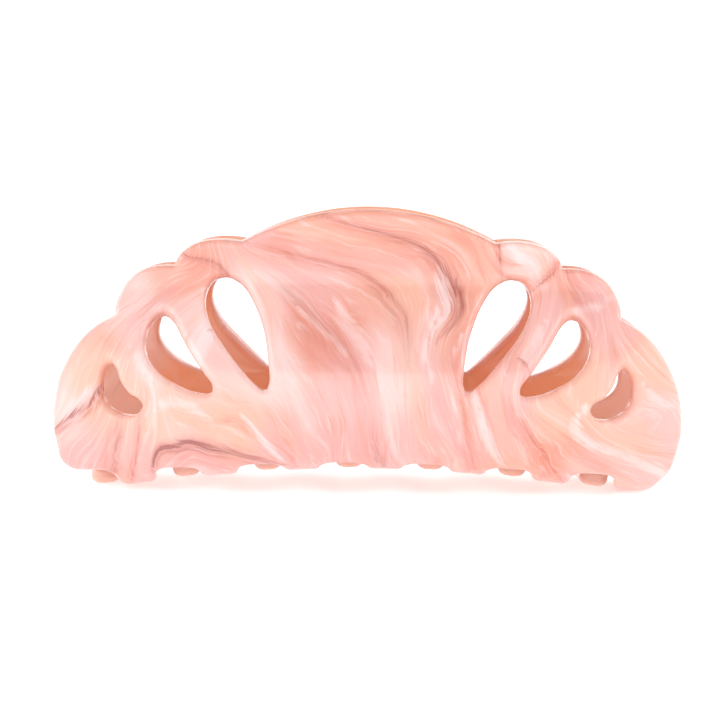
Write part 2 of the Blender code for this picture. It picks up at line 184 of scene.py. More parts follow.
# Dark veins: the tone from red (0) to grey (1), then (u, v, half width, strength) along the vein.
# The sharp side of a vein lies on its left as it runs; the other side fades softly.
VEINS = (
    (0.55, ((-12, 49.6, 0.5, 0.35), (-5, 48.0, 0.8, 0.5), (0, 46.7, 1.0, 0.75), (5, 45.2, 1.2, 0.85),
            (9, 43.7, 1.4, 0.9), (11.8, 41.3, 1.8, 0.95), (13.8, 38, 2.0, 1.0), (15.5, 34.8, 1.8, 1.0),
            (16.2, 31.8, 1.6, 0.95), (15.2, 29.2, 1.2, 0.75), (12.6, 26.6, 0.6, 0.35))),
    (0.25, ((-22, 44.0, 0.5, 0.25), (-18, 43.2, 0.7, 0.5), (-12, 41.4, 1.0, 0.7), (-6, 39.9, 1.0, 0.7),
            (-2, 38.4, 1.3, 0.65), (1.2, 36, 1.6, 0.65), (4, 33, 1.8, 0.65), (6.2, 30, 1.6, 0.6),
            (7.0, 26, 1.2, 0.35), (7.4, 23, 0.9, 0.15))),
    (0.05, ((-21, 41.5, 0.8, 0.1), (-15, 35.2, 1.6, 0.35), (-10, 30, 2.6, 0.6), (-5, 25.5, 2.6, 0.6),
            (-1.5, 21.5, 1.8, 0.35), (1, 16, 1.2, 0.15))),
    (0.9, ((-37.3, 1.5, 0.7, 0.35), (-37, 6, 0.9, 0.8), (-35.5, 8.6, 1.2, 1.0), (-33, 9.0, 1.3, 1.0),
           (-30.5, 9.8, 1.4, 1.0), (-27, 8.7, 2.0, 0.85), (-23, 7.6, 2.2, 0.75), (-19.5, 6.2, 2.0, 0.7),
           (-15, 4.3, 1.4, 0.5))),
    (0.7, ((-54.2, 9.9, 0.9, 0.9), (-52, 12, 1.1, 0.9), (-49.5, 13.8, 1.5, 0.85), (-47.3, 15.8, 1.6, 0.85),
           (-46, 18.2, 1.0, 0.8), (-45.3, 19.6, 0.5, 0.6))),
    (0.7, ((-42.2, 13.2, 1.8, 0.2), (-42.9, 10, 2.0, 0.45), (-44.0, 5.5, 2.0, 0.5), (-44.6, 2, 1.6, 0.55))),
    (0.1, ((-38.7, 13.5, 0.5, 0.35), (-39.6, 8, 0.7, 0.6), (-41, 3, 0.9, 0.7), (-41.8, -0.5, 0.9, 0.7))),
    (0.5, ((-33.3, 42.2, 0.5, 0.7), (-31.5, 41.0, 0.5, 0.75), (-28.5, 40.6, 0.8, 0.8),
           (-26.3, 39.6, 1.1, 0.8), (-24.8, 37.6, 0.9, 0.7))),
    (0.15, ((22.9, 44.5, 0.5, 0.95), (22.9, 42.5, 0.6, 0.95), (23.2, 40.2, 0.7, 0.8), (23.4, 38, 0.4, 0.4))),
    (0.1, ((34.0, 41.5, 0.4, 0.9), (32.3, 38.6, 0.8, 0.9), (30.3, 36.4, 0.9, 0.8), (28.9, 35.1, 0.4, 0.5))),
    (0.05, ((24.5, 17, 0.6, 0.2), (26.0, 14.4, 1.2, 0.55), (28.5, 11.4, 1.2, 0.7), (31, 8, 1.0, 0.7),
            (33, 4, 1.0, 0.7), (34.7, 0, 1.0, 0.6))),
    (0.65, ((0.8, 17, 1.2, 0.15), (1.2, 11, 1.8, 0.35), (2.5, 5, 2.2, 0.55), (3.5, 0, 2.2, 0.55),
            (4, -5, 2.2, 0.5))),
    (0.1, ((15, 22, 0.6, 0.15), (16.5, 16, 1.0, 0.45), (18, 9, 1.4, 0.5), (19.5, 1, 1.4, 0.5))),
    (0.1, ((26.0, 23.6, 0.2, 0.8), (27.2, 22.9, 0.35, 0.8), (27.8, 21.9, 0.2, 0.6))),
    (0.2, ((-27.5, 27.6, 0.2, 0.5), (-25.8, 28.3, 0.5, 0.5), (-24.4, 27.7, 0.3, 0.3))),
    (0.05, ((39, 29, 0.7, 0.1), (36, 35, 1.6, 0.45), (34.8, 38.3, 1.2, 0.4))),
)

# Milky streaks, laid the same way: (u, v, half width, strength).
STREAKS = (
    ((13.0, 41.5, 0.5, 0.4), (13.0, 38.5, 1.1, 0.95), (13.6, 35.5, 1.9, 1.0), (13.8, 32.5, 2.1, 1.0),
     (12.7, 30, 1.6, 0.95), (11.0, 27.6, 1.0, 0.9), (10.2, 24, 1.0, 0.8), (11.5, 20, 0.8, 0.6)),
    ((-6, 34.4, 0.3, 0.6), (-4.5, 30.5, 1.4, 0.65), (-1.5, 26, 1.3, 0.5), (1.4, 21.8, 0.6, 0.4)),
    ((-20, 38.5, 0.6, 0.5), (-14, 34, 1.0, 0.6), (-8.5, 28.8, 1.0, 0.6), (-3.5, 24, 0.7, 0.6)),
    ((-15.4, 31, 0.8, 0.5), (-15.3, 27, 1.1, 0.5), (-13.4, 21, 1.3, 0.4), (-9.5, 13, 1.2, 0.3)),
    ((2.6, 22, 0.5, 0.3), (4.0, 12, 0.9, 0.5), (6.8, 4, 1.0, 0.5), (8.0, -1, 0.9, 0.3)),
    ((-22, 15.2, 0.3, 0.5), (-18.5, 11.5, 0.7, 0.8), (-15.5, 7, 1.0, 0.8), (-13.8, 3.6, 0.6, 0.6)),
    ((-38, 13.8, 0.2, 0.6), (-33.5, 16.4, 1.3, 0.6), (-29, 15.2, 1.0, 0.6), (-25.6, 12.6, 0.3, 0.5)),
    ((-46.5, 17.8, 1.4, 0.6), (-48.2, 16.6, 1.8, 0.95), (-50.5, 14.2, 1.4, 0.95), (-52.8, 12, 0.9, 0.6)),
    ((-49.8, 22, 1.0, 0.15), (-51.5, 19, 1.2, 0.2), (-52.8, 15.5, 1.0, 0.25)),
    ((-24.6, 35, 1.6, 0.7), (-26, 30.5, 2.2, 0.9), (-28.4, 26, 2.0, 0.85), (-29.7, 21.5, 1.0, 0.5)),
    ((-41.2, 25.2, 0.5, 0.7), (-38.6, 21.8, 1.4, 0.7), (-36.5, 17.8, 0.8, 0.8), (-36.6, 11.8, 1.0, 0.5)),
    ((24.8, 43.8, 0.7, 0.9), (26.4, 42.0, 1.2, 0.9), (28.6, 39.4, 1.2, 0.6), (30.5, 35.5, 1.0, 0.4)),
    ((31.5, 30, 0.4, 0.5), (29.6, 27, 1.3, 0.65), (27.4, 23.6, 1.3, 0.5)),
    ((18.4, 18.5, 0.5, 0.5), (20.2, 13.5, 0.9, 0.75), (22.2, 9, 0.8, 0.6), (24.8, 4.5, 0.4, 0.5)),
    ((37.6, 16.2, 0.8, 0.7), (35.4, 12.8, 0.9, 0.75), (38.5, 9.9, 0.8, 0.7), (44.5, 7.8, 0.7, 0.45),
     (51.5, 4.4, 0.7, 0.6)),
    ((47.4, 19.8, 0.4, 0.4), (49.2, 17.4, 0.9, 0.5), (53.4, 15.2, 0.5, 0.5)),
    ((43, 34, 0.6, 0.3), (40, 32, 1.2, 0.6), (36.5, 31.6, 1.0, 0.5)),
    ((16.2, 27, 0.6, 0.5), (14.2, 22, 0.8, 0.5), (15.2, 16, 1.3, 0.7), (17.2, 9, 0.7, 0.4)),
)

# Ground colour of the sheet in patches, each blended smoothly into its neighbours.
GROUND_PATCHES = (
    ("salmon", ((0, 48.5), (12, 47), (18, 41), (19, 33), (-10, 44), (5, 41), (-34, 38), (26, 3))),
    ("coral", ((16, 44), (-30, 38.5), (-8, 27), (32, 8), (36, 37), (21, 24), (-15, 45))),
    ("peach", ((-46, 15), (48, 24), (40, 20), (-22, 12), (32, 14), (8, 36), (46, 11), (-48, 22), (-35, 14))),
    ("rose", ((-18, 46.5), (-14, 9), (-4, 10), (-49, 6), (-30, 5), (24, 12), (40, 35), (12, 14), (38, 4))),
    ("pearl", ((-27, 30), (-17, 22), (-34, 24), (-42, 33), (-20, 35), (27, 41), (-52, 13), (4, 20))),
    ("blush", ((-4, 18), (4, 4), (30, 32), (24, 20), (44, 28), (46, 4), (-40, 6), (-10, 36), (51, 14))),
)
PATCH_SOFTNESS = 6.0
PATCH_FADE = 2.2
PALETTE = {
    "salmon": (0.84, 0.39, 0.30),
    "coral": (0.80, 0.31, 0.225),
    "peach": (0.88, 0.48, 0.365),
    "rose": (0.82, 0.41, 0.385),
    "pearl": (0.91, 0.62, 0.58),
    "blush": (0.86, 0.475, 0.44),
    # tip: painted light, the paler colour laid on shaded teeth and on shaded inner-face ends.
    "tip": (0.95, 0.62, 0.50),
    "milk": (0.94, 0.75, 0.74),
    "vein_red": (0.64, 0.18, 0.12),
    "vein_grey": (0.40, 0.14, 0.13),
    # rim: painted shade, the deeper orange of cut edges seen with light through the acetate.
    "rim": (0.88, 0.39, 0.27),
    # Painted light and shade: the deeper orange of inner faces, lit through the acetate and shaded inside.
    "painted_inner_orange": (0.96, 0.42, 0.19),
    "steel": (0.62, 0.61, 0.60),
}

# How the swirl wanders, and the cross-section of a vein: (place across it, darkness).
DEPTH_SHARE = 0.8
SWAY_MM = 7.0
RIPPLE_MM = 1.8
STRANDS = 6.5
VEIN_SPREAD = 3.0
VEIN_PROFILE = ((0.06, 0.0), (0.30, 0.26), (0.42, 0.72), (0.50, 1.0), (0.585, 0.72), (0.66, 0.12),
                (0.74, 0.0))

# Camera, lights and floor.
CAMERA_AIM = Vector((0.0, 0.0, 0.025))
CAMERA_TURN = math.radians(1.0)
CAMERA_RISE = math.radians(4.6)
CAMERA_ROLL = math.radians(0.5)
CAMERA_AWAY = 0.46
CAMERA_LENS = 128.0
CAMERA_SHIFT = (-0.0118, -0.0208)
SWEEP_START = 0.80
SWEEP_R = 0.45
SWEEP_PIECES = 16
WALL_TOP = 1.4
PAPER_GLOW = 0.44
AIR_GLOW = 0.22
WHITE = (1.0, 1.0, 1.0, 1.0)
# Each light: name, place, what it is aimed at, its two sides, and its power.
LIGHTS = (
    ("key_left", (-0.50, -0.12, 0.20), CAMERA_AIM, (0.50, 0.36), 0.30),
    ("key_right", (0.52, -0.08, 0.26), CAMERA_AIM, (0.22, 0.36), 0.26),
    ("front_box", (-0.14, -0.66, 0.50), CAMERA_AIM, (1.2, 0.8), 0.46),
    ("top_box", (0.0, -0.06, 0.60), CAMERA_AIM, (0.9, 0.40), 0.50),
    ("rear_wash", (0.0, 0.45, 0.80), (0.0, 1.1, 0.25), (1.6, 0.4), 2.0),
)


# ---- outline helpers

def spline_through(points, step, closed=False):
    """Points about `step` apart on a smooth curve through the given ones."""
    count = len(points)
    found = []
    spans = count if closed else count - 1
    for i in range(spans):
        p1 = Vector(points[i])
        p2 = Vector(points[(i + 1) % count])
        p0 = Vector(points[i - 1]) if (closed or i > 0) else p1 - (p2 - p1)
        p3 = Vector(points[(i + 2) % count]) if (closed or i + 2 < count) else p2 + (p2 - p1)
        pieces = max(1, round((p2 - p1).length / step))
        for k in range(pieces):
            found.append(catmull(p0, p1, p2, p3, k / pieces))
    if not closed:
        found.append(Vector(points[-1]))
    return found


def catmull(p0, p1, p2, p3, t):
    """Centripetal Catmull-Rom point between p1 and p2."""
    t1 = math.sqrt((p1 - p0).length)
    t2 = t1 + math.sqrt((p2 - p1).length)
    t3 = t2 + math.sqrt((p3 - p2).length)
    s = t1 + (t2 - t1) * t
    a1 = p0 * ((t1 - s) / t1) + p1 * (s / t1)
    a2 = p1 * ((t2 - s) / (t2 - t1)) + p2 * ((s - t1) / (t2 - t1))
    a3 = p2 * ((t3 - s) / (t3 - t2)) + p3 * ((s - t2) / (t3 - t2))
    b1 = a1 * ((t2 - s) / t2) + a2 * (s / t2)
    b2 = a2 * ((t3 - s) / (t3 - t1)) + a3 * ((s - t1) / (t3 - t1))
    return b1 * ((t2 - s) / (t2 - t1)) + b2 * ((s - t1) / (t2 - t1))


def fillet_polygon(corners):
    """Closed polygon of (point, radius) corners with each radius drawn as an arc."""
    found = []
    count = len(corners)
    for i in range(count):
        here, radius = corners[i]
        if radius <= 0:
            found.append(here)
            continue
        before = (corners[i - 1][0] - here).normalized()
        after = (corners[(i + 1) % count][0] - here).normalized()
        half = before.angle(after) / 2
        if half > math.radians(88):
            found.append(here)
            continue
        reach = radius / math.tan(half)
        middle = here + (before + after).normalized() * (radius / math.sin(half))
        start = here + before * reach - middle
        finish = here + after * reach - middle
        turn = math.pi - 2 * half
        if start.x * finish.y - start.y * finish.x < 0:
            turn = -turn
        pieces = max(2, math.ceil(abs(turn) / ARC_STEP))
        for k in range(pieces + 1):
            found.append(middle + Matrix.Rotation(turn * k / pieces, 2) @ start)
    return found


# ---- the jaw's curved mid-surface

def bow(u):
    """Share of its middle depth that the jaw keeps at station u."""
    return math.sqrt(1 - (abs(u) / BOW_LENGTH) ** BOW_POWER)


def curl_radius(u):
    return CURL_R * bow(u)


def underside_z(u):
    """Height of the teeth's undersides, which arch up between the ends."""
    q = 1 - min(1.0, (u / ARCH_HALF) ** 2)
    return ARCH_RISE * q ** 1.2


def tooth_droop(u):
    return TOOTH_DROOP * underside_z(u) / ARCH_RISE


def curl_centre_z(u):
    return underside_z(u) + PLATE_T / 2 + curl_radius(u)


def side_profile(z):
    """Distance of the middle of the plate from the hinge plane: belly, pinch, finger tab."""
    if z >= PINCH_Z:
        rise = (z - PINCH_Z) / (DOME_TOP_Z - PINCH_Z)
        return PINCH_Y + TAB_FLARE * rise * rise
    t = max(0.0, (z - BELLY_Z) / (PINCH_Z - BELLY_Z))
    return BELLY_Y - (BELLY_Y - PINCH_Y) * t * t * (3 - 2 * t)


def sheet_point(u, v):
    """Place on the formed mid-surface of the flat sheet's point (u, v)."""
    radius = curl_radius(u)
    centre = curl_centre_z(u)
    if v >= centre:
        return Vector((u, -side_profile(v) * bow(u), v))
    angle = (centre - v) / radius
    out = BELLY_Y * bow(u)
    if angle <= math.pi / 2:
        return Vector((u, radius * (1 - math.cos(angle)) - out, centre - radius * math.sin(angle)))
    run = centre - v - radius * math.pi / 2
    droop = tooth_droop(u) * (run / (out - radius + TOOTH_REACH)) ** 2
    return Vector((u, radius - out + run, centre - radius - droop))


def formed_place_and_normal(u, v, n, flat_normal):
    """Formed place of a point n above the sheet's middle, and its formed surface normal."""
    d = 0.01
    along = (sheet_point(u + d, v) - sheet_point(u - d, v)) / (2 * d)
    up = (sheet_point(u, v + d) - sheet_point(u, v - d)) / (2 * d)
    out = along.cross(up).normalized()
    normal = up.cross(out) * flat_normal.x + out.cross(along) * flat_normal.y
    normal += along.cross(up) * flat_normal.z
    return sheet_point(u, v) + out * n, normal.normalized()


def valley_v(u):
    """Sheet height of the edge between two teeth, from the height wanted when formed."""
    wanted = VALLEY_Z - VALLEY_DROP * (abs(u) / VALLEY_HALF) ** 1.5
    radius = curl_radius(u)
    centre = curl_centre_z(u)
    sine = min(0.98, (centre - PLATE_T / 2 - wanted) / radius)
    return centre - radius * math.asin(sine) - PLATE_T / 2


def tip_v(u):
    """Sheet height of a tooth's tip, past the curl and the straight run under the jaw."""
    straight = BELLY_Y * bow(u) - curl_radius(u)
    return curl_centre_z(u) - curl_radius(u) * math.pi / 2 - straight - TOOTH_REACH


def tooth_centres():
    half = TOOTH_COUNT // 2
    return [TOOTH_SHIFT + TOOTH_PITCH * k for k in range(-half, half + 1)]


# ---- the jaws

def upper_edge(step):
    """Corners of the right half from the dome's top to the last lobe's foot."""
    corners = []
    pieces = round(DOME_HALF / step)
    for k in range(pieces):
        x = DOME_HALF * k / pieces
        z = DOME_TOP_Z - DOME_R + math.sqrt(DOME_R ** 2 - x ** 2)
        corners.append((Vector((x, z)), 0.0))
    for lobe in (LOBE_1, LOBE_2, LOBE_3):
        points = spline_through(lobe, step)
        corners.append((points[0], NOTCH_ROUND))
        corners += [(p, 0.0) for p in points[1:-1]]
    corners.append((Vector(LOBE_3[-1]), 0.0))
    return corners


def valley_corner(u, radius=0.0):
    return Vector((u, valley_v(u))), radius


def toothed_edge():
    """Corners along the bottom from right to left: seven teeth, then the plain end."""
    centres = tooth_centres()
    corners = [(p, 0.0) for p in spline_through(END_SIDE, EDGE_STEP)[1:]]
    for c in reversed(centres):
        if c != centres[-1]:
            corners.append(valley_corner(c + TOOTH_ROOT_HALF, ROOT_FILLET))
        for side in (TOOTH_TIP_HALF, -TOOTH_TIP_HALF):
            corners.append((Vector((c + side, tip_v(c))), TOOTH_TIP_ROUND))
        corners.append(valley_corner(c - TOOTH_ROOT_HALF, ROOT_FILLET))
        if c != centres[0]:
            corners.append(valley_corner(c - TOOTH_PITCH / 2))
    return corners + [valley_corner(*end) for end in PLAIN_END]


def closed_path_fine(points, step):
    """The closed polygon with its long straight runs cut into short ones."""
    found = []
    for i, here in enumerate(points):
        after = points[(i + 1) % len(points)]
        pieces = max(1, round((after - here).length / step))
        found += [here.lerp(after, k / pieces) for k in range(pieces)]
    return found


def jaw_outline(step):
    right = upper_edge(step)
    left = [(Vector((-p.x, p.y)), r) for p, r in reversed(right[1:])]
    return closed_path_fine(fillet_polygon(left + right + toothed_edge()), step * 1.6)


def sheet_curve(name, loops, half_thickness, edge, resolution):
    """Flat filled outline with holes, thick and with rounded edges, as a mesh."""
    curve = bpy.data.curves.new(name, "CURVE")
    curve.dimensions = "2D"
    curve.fill_mode = "BOTH"
    curve.extrude = half_thickness - edge
    curve.bevel_depth = edge
    curve.bevel_resolution = resolution
    curve.offset = -edge
    for loop in loops:
        spline = curve.splines.new("POLY")
        spline.points.add(len(loop) - 1)
        for point, place in zip(spline.points, loop):
            point.co = (place[0], place[1], 0.0, 1.0)
        spline.use_cyclic_u = True
    return mesh_of_curve(name, curve, 0.00001)


def mesh_of_curve(name, curve, weld):
    """The curve turned into a welded mesh; the curve itself is removed."""
    holder = bpy.data.objects.new(name + "_curve", curve)
    bpy.context.scene.collection.objects.link(holder)
    ready = holder.evaluated_get(bpy.context.evaluated_depsgraph_get())
    mesh = bpy.data.meshes.new_from_object(ready)
    mesh.name = name
    bpy.data.objects.remove(holder, do_unlink=True)
    bpy.data.curves.remove(curve)
    body = bmesh.new()
    body.from_mesh(mesh)
    bmesh.ops.remove_doubles(body, verts=body.verts, dist=weld)
    bmesh.ops.recalc_face_normals(body, faces=body.faces)
    body.to_mesh(mesh)
    body.free()
    return mesh


def is_cap(face):
    return abs(face.normal.z) > 0.9999


def cut_into_grid(body, step):
    """Merge the flat faces, then slice them along lines of constant u and v."""
    flat = [e for e in body.edges if all(is_cap(f) for f in e.link_faces)]
    bmesh.ops.dissolve_limit(body, angle_limit=0.01, verts=[], edges=flat)
    low = Vector((min(v.co.x for v in body.verts), min(v.co.y for v in body.verts)))
    high = Vector((max(v.co.x for v in body.verts), max(v.co.y for v in body.verts)))
    for axis in (0, 1):
        pieces = math.ceil((high[axis] - low[axis]) / step)
        for k in range(1, pieces):
            place = Vector((0.0, 0.0, 0.0))
            place[axis] = low[axis] + (high[axis] - low[axis]) * k / pieces
            normal = Vector((0.0, 0.0, 0.0))
            normal[axis] = 1.0
            faces = [f for f in body.faces if is_cap(f) and crosses(f, axis, place[axis])]
            edges = {e for f in faces for e in f.edges}
            verts = {v for f in faces for v in f.verts}
            bmesh.ops.bisect_plane(body, geom=[*verts, *edges, *faces], plane_co=place, plane_no=normal,
                                   dist=GRID_MERGE)


def crosses(face, axis, level):
    places = [v.co[axis] for v in face.verts]
    return min(places) < level < max(places)


def flat_normal(vert, half_thickness, edge):
    """Exact normal of the flat sheet with rounded edges at one of its vertices."""
    rise = (abs(vert.co.z) - (half_thickness - edge)) / edge
    rise = min(1.0, max(0.0, rise))
    if rise > 0.9999:
        return Vector((0.0, 0.0, math.copysign(1.0, vert.co.z)))
    level = Vector((vert.normal.x, vert.normal.y, 0.0)).normalized()
    return level * math.sqrt(1 - rise * rise) + Vector((0.0, 0.0, math.copysign(rise, vert.co.z)))


def flat_jaw():
    """Bmesh of the jaw before forming, finely cut, with its exact normals per vertex."""
    loops = [jaw_outline(EDGE_STEP)]
    for hole in (TEARDROP, LEAF, BEAN):
        right = spline_through(hole, HOLE_STEP, closed=True)
        loops.append(right)
        loops.append([Vector((-p.x, p.y)) for p in reversed(right)])
    mesh = sheet_curve("jaw_sheet", loops, PLATE_T / 2, EDGE_ROUND, EDGE_RINGS)
    body = bmesh.new()
    body.from_mesh(mesh)
    bpy.data.meshes.remove(mesh)
    cut_into_grid(body, GRID)
    body.normal_update()
    normals = [flat_normal(v, PLATE_T / 2, EDGE_ROUND) for v in body.verts]
    bmesh.ops.triangulate(body, faces=[f for f in body.faces if len(f.verts) > 4],
                          quad_method="SHORT_EDGE", ngon_method="BEAUTY")
    return body, normals


def formed_jaw(name, turned_round, mirrored):
    """Jaw mesh in the model's frame, with the marbling laid on it."""
    body, normals = flat_jaw()
    sheet = np.array([v.co[:] for v in body.verts])
    formed = []
    for vert, normal in zip(body.verts, normals):
        place, turned = formed_place_and_normal(vert.co.x, vert.co.y, vert.co.z, normal)
        if turned_round:
            place = Vector((-place.x, -place.y, place.z))
            turned = Vector((-turned.x, -turned.y, turned.z))
        vert.co = place * MM
        formed.append(turned)
    for face in body.faces:
        face.smooth = True
    mesh = bpy.data.meshes.new(name)
    body.to_mesh(mesh)
    body.free()
    mesh.normals_split_custom_set_from_vertices(formed)
    if mirrored:
        sheet[:, 0] *= -1
    lay_marbling(mesh, sheet)
    return mesh


# ---- marbling fields

def set_field(mesh, name, values):
    field = mesh.attributes.new(name, "FLOAT", "POINT")
    field.data.foreach_set("value", np.asarray(values, np.float32))


def smooth_field(places, values, wanted, softness):
    """Smooth surface through scattered values, a multiquadric, read at the wanted places."""
    def kernel(a, b):
        gap = a[:, None, :] - b[None, :, :]
        return np.sqrt((gap ** 2).sum(axis=2) + softness ** 2)
    count = len(places)
    system = np.zeros((count + 3, count + 3))
    plane = np.hstack([np.ones((count, 1)), places])
    system[:count, :count] = kernel(places, places)
    system[:count, count:] = plane
    system[count:, :count] = plane.T
    system[:count, :count] -= np.eye(count) * 0.8
    weights = np.linalg.solve(system, np.vstack([values, np.zeros((3, values.shape[1]))]))
    found = kernel(wanted, places) @ weights[:count]
    return found + np.hstack([np.ones((len(wanted), 1)), wanted]) @ weights[count:]


def along_line(points):
    steps = np.sqrt((np.diff(points, axis=0) ** 2).sum(axis=1))
    return np.concatenate([[0.0], np.cumsum(steps)])


def flow_field(wanted):
    """Two coordinates of the swirl, in millimetres: across it and along it."""
    places = []
    values = []
    for level, line in FLOW_LINES:
        fine = np.array([p[:] for p in spline_through(line, FLOW_STEP)])
        reach = along_line(fine)
        for place, travelled in zip(fine, reach):
            places.append(place)
            values.append((level * LEVEL_MM, travelled))
    places = np.array(places)
    values = np.array(values)
    across = smooth_field(places, values[:, :1], wanted, 1.5)
    along = smooth_field(places, values[:, 1:], wanted, 6.0)
    return across[:, 0], along[:, 0]


def nearest_on_lines(wanted, lines):
    """For each place: signed distance in half widths, strength and tone of its nearest line."""
    best = np.full(len(wanted), FAR)
    signed = np.full(len(wanted), FAR)
    strength = np.zeros(len(wanted))
    tones = np.zeros(len(wanted))
    for tone, line in lines:
        fine = fine_line(line)
        for a, b in zip(fine[:-1], fine[1:]):
            step = b[:2] - a[:2]
            length = math.hypot(*step)
            gap = wanted - a[:2]
            share = np.clip((gap @ step) / length ** 2, 0, 1)
            width = a[2] + (b[2] - a[2]) * share
            off = gap - share[:, None] * step
            side = np.where(step[0] * gap[:, 1] - step[1] * gap[:, 0] >= 0, 1.0, -1.0)
            distance = np.sqrt((off ** 2).sum(axis=1)) / width
            closer = distance < best
            best = np.where(closer, distance, best)
            signed = np.where(closer, distance * side, signed)
            strength = np.where(closer, a[3] + (b[3] - a[3]) * share, strength)
            tones = np.where(closer, tone, tones)
    return signed, best, strength, tones


def fine_line(line):
    """A smooth line with its width and strength carried along it."""
    points = np.array([p[:2] for p in line], float)
    rough = along_line(points)
    fine = []
    for i in range(len(line) - 1):
        p1, p2 = Vector(line[i][:2]), Vector(line[i + 1][:2])
        p0 = Vector(line[i - 1][:2]) if i else p1 - (p2 - p1)
        p3 = Vector(line[i + 2][:2]) if i + 2 < len(line) else p2 + (p2 - p1)
        pieces = max(1, round((rough[i + 1] - rough[i]) / LINE_STEP))
        for k in range(pieces + (i == len(line) - 2)):
            t = k / pieces
            place = catmull(p0, p1, p2, p3, t)
            width = line[i][2] + (line[i + 1][2] - line[i][2]) * t
            power = line[i][3] + (line[i + 1][3] - line[i][3]) * t
            fine.append((place.x, place.y, width, power))
    return np.array(fine)


def ground_field(wanted):
    """Ground colour at each place, blended between the patches."""
    total = np.zeros((len(wanted), 3))
    weight = np.zeros((len(wanted), 1))
    for name, patches in GROUND_PATCHES:
        colour = np.array(PALETTE[name])
        for place in patches:
            gap = ((wanted - np.array(place, float)) ** 2).sum(axis=1) + PATCH_SOFTNESS
            share = (gap ** -PATCH_FADE)[:, None]
            total += share * colour
            weight += share
    return total / weight


def lay_marbling(mesh, sheet):
    """Store on the mesh everything that the marbling material reads."""
    flat = sheet[:, :2]
    across, along = flow_field(flat)
    set_field(mesh, "across", across)
    set_field(mesh, "along", along)
    set_field(mesh, "depth", sheet[:, 2])
    set_field(mesh, "side", sheet[:, 0])
    set_field(mesh, "height", sheet[:, 1])
    for layer in range(LAYERS):
        signed, gap, strength, tones = nearest_on_lines(flat, VEINS[layer::LAYERS])
        set_field(mesh, f"vein_off_{layer}", signed)
        set_field(mesh, f"vein_gap_{layer}", gap)
        set_field(mesh, f"vein_power_{layer}", strength)
        set_field(mesh, f"vein_tone_{layer}", tones)
        _, gap, strength, _ = nearest_on_lines(flat, [(0.0, line) for line in STREAKS[layer::LAYERS]])
        set_field(mesh, f"milk_gap_{layer}", gap)
        set_field(mesh, f"milk_power_{layer}", strength)
    ground = mesh.attributes.new("ground", "FLOAT_COLOR", "POINT")
    colours = np.hstack([ground_field(flat), np.ones((len(flat), 1))])
    ground.data.foreach_set("color", colours.astype(np.float32).ravel())


# ---- node helpers

def set_inputs(node, values):
    for name, value in values.items():
        node.inputs[name].default_value = value


class Graph:
    """Short calls for wiring one material's nodes."""

    def __init__(self, name):
        self.material = bpy.data.materials.new(name)
        self.material.use_nodes = True
        self.nodes = self.material.node_tree.nodes
        self.links = self.material.node_tree.links
        self.shader = self.nodes["Principled BSDF"]

    def put(self, socket, value):
        if isinstance(value, bpy.types.NodeSocket):
            self.links.new(value, socket)
        elif value is not None:
            socket.default_value = value

    def feed(self, name, value):
        self.put(self.shader.inputs[name], value)

    def maths(self, how, a, b=None, clamp=False):
        node = self.nodes.new("ShaderNodeMath")
        node.operation = how
        node.use_clamp = clamp
        for socket, value in zip(node.inputs, (a, b)):
            self.put(socket, value)
        return node.outputs[0]

    def times(self, a, b, clamp=False):
        return self.maths("MULTIPLY", a, b, clamp)

    def plus(self, a, b):
        return self.maths("ADD", a, b)

    def less(self, a, b):
        return self.maths("SUBTRACT", a, b)

    def field(self, name):
        node = self.nodes.new("ShaderNodeAttribute")
        node.attribute_name = name
        return node.outputs["Fac"]

    def colour_field(self, name):
        node = self.nodes.new("ShaderNodeAttribute")
        node.attribute_name = name
        return node.outputs["Color"]

    def vector(self, x, y, z):
        node = self.nodes.new("ShaderNodeCombineXYZ")
        for socket, value in zip(node.inputs, (x, y, z)):
            self.put(socket, value)
        return node.outputs[0]

    def noise(self, where, scale, detail=3.0, rough=0.5, bend=0.0):
        node = self.nodes.new("ShaderNodeTexNoise")
        node.noise_dimensions = "3D"
        self.put(node.inputs["Vector"], where)
        set_inputs(node, {"Scale": scale, "Detail": detail, "Roughness": rough, "Distortion": bend})
        return node.outputs["Fac"]

    def ramp(self, value, stops):
        node = self.nodes.new("ShaderNodeValToRGB")
        node.color_ramp.interpolation = "EASE"
        points = node.color_ramp.elements
        for i, (place, level) in enumerate(stops):
            point = points[i] if i < 2 else points.new(place)
            point.position = place
            point.color = (level, level, level, 1.0)
        self.put(node.inputs[0], value)
        return node.outputs[0]

    def span(self, value, low, high, to_low=0.0, to_high=1.0, smooth=True):
        node = self.nodes.new("ShaderNodeMapRange")
        node.interpolation_type = "SMOOTHSTEP" if smooth else "LINEAR"
        for socket, item in zip(node.inputs, (value, low, high, to_low, to_high)):
            self.put(socket, item)
        return node.outputs[0]

    def mix(self, share, first, second):
        node = self.nodes.new("ShaderNodeMix")
        node.data_type = "RGBA"
        self.put(node.inputs[0], share)
        self.put(node.inputs[6], opaque(first))
        self.put(node.inputs[7], opaque(second))
        return node.outputs[2]

    def bump(self, height, strength, distance):
        node = self.nodes.new("ShaderNodeBump")
        set_inputs(node, {"Strength": strength, "Distance": distance})
        self.put(node.inputs["Height"], height)
        self.put(self.shader.inputs["Normal"], node.outputs[0])

    def place(self):
        return self.nodes.new("ShaderNodeTexCoord").outputs["Object"]


def opaque(value):
    if isinstance(value, tuple) and len(value) == 3:
        return (*value, 1.0)
    return value


# ---- materials

def acetate_finish(graph):
    """Gloss shared by every acetate piece."""
    set_inputs(graph.shader, {
        "IOR": 1.53, "Subsurface Weight": 0.30, "Subsurface Radius": (1.0, 0.42, 0.30),
        "Subsurface Scale": 0.0022, "Coat Weight": 0.6, "Coat Roughness": 0.03})


